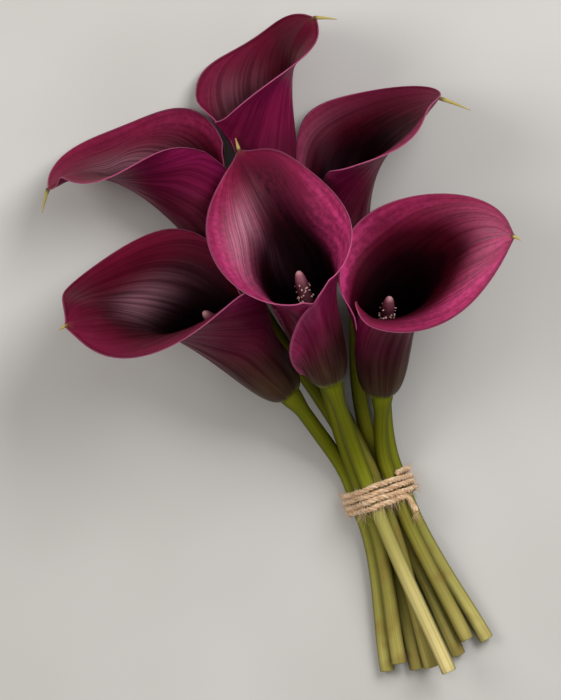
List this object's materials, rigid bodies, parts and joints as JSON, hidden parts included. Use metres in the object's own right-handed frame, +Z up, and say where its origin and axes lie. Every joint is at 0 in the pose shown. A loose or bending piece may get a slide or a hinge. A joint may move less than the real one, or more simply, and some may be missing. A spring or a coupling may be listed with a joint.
{
  "type": "tied bunch of calla lilies",
  "caption": "Hand-tied bunch of dark purple calla lilies lying flat: flared trumpet spathes and closed young ones on slim green stems, bound with jute twine.",
  "frame": {"origin": "middle of the bunch's bounding box, on the surface that it lies on", "axes": "+Y along the bunch from the cut stem ends to the blooms, +X to the right seen from above with the blooms away from the viewer, +Z up from the surface"},
  "size_m": [0.2088, 0.3038, 0.1169],
  "materials": {
    "spathe": "satin, soft and fleshy, dark wine inside and magenta plum outside",
    "spadix": "matt, finely granular",
    "stem": "satin, finely striped",
    "twine": "matt, hairy jute"
  },
  "bodies": {
    "root": {"spathe_front": "spathe", "spadix_front": "spadix", "stem_front": "stem", "spathe_right": "spathe", "spadix_right": "spadix", "stem_right": "stem", "spathe_left": "spathe", "spadix_left": "spadix", "stem_left": "stem", "spathe_far_left": "spathe", "spadix_far_left": "spadix", "stem_far_left": "stem", "spathe_top": "spathe", "spadix_top": "spadix", "stem_top": "stem", "spathe_far_right": "spathe", "spadix_far_right": "spadix", "stem_far_right": "stem", "spathe_young_left": "spathe", "spadix_young_left": "spadix", "stem_young_left": "stem", "spathe_young_right": "spathe", "spadix_young_right": "spadix", "stem_young_right": "stem", "twine": "twine"}
  },
  "joints": []
}
